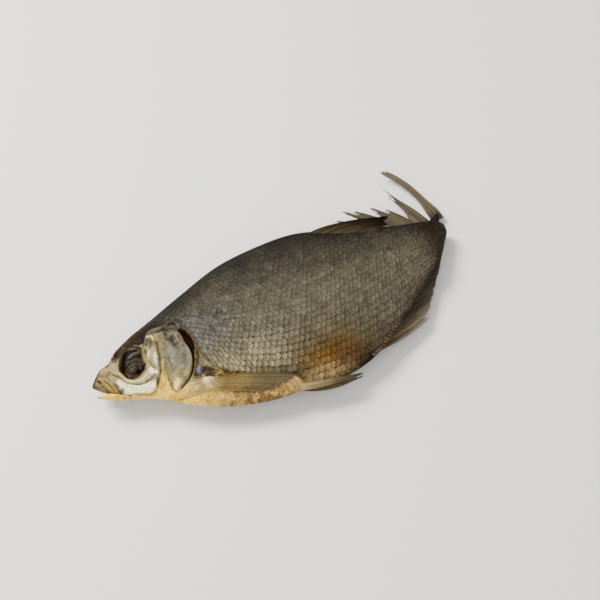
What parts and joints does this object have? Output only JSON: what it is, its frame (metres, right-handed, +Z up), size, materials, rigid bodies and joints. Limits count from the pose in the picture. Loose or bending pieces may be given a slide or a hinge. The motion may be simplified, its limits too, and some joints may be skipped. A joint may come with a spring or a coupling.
{
  "type": "dried bream",
  "caption": "Whole dried bream lying flat on one side, scales and head on, with the end of its tail folded under so that the tail fin shows past the back.",
  "frame": {"origin": "on the surface that the fish lies on, under the middle of its bounding box", "axes": "+X along the fish from its snout to the tail fold, +Y towards its back, +Z up, out of its left side"},
  "size_m": [0.3202, 0.1706, 0.0368],
  "materials": {
    "dried_skin": "dull grey-brown dried scales with a faint sheen, cream and silver on the head, ochre low on the flank"
  },
  "bodies": {
    "root": {"dried_bream": "dried_skin"}
  },
  "joints": []
}
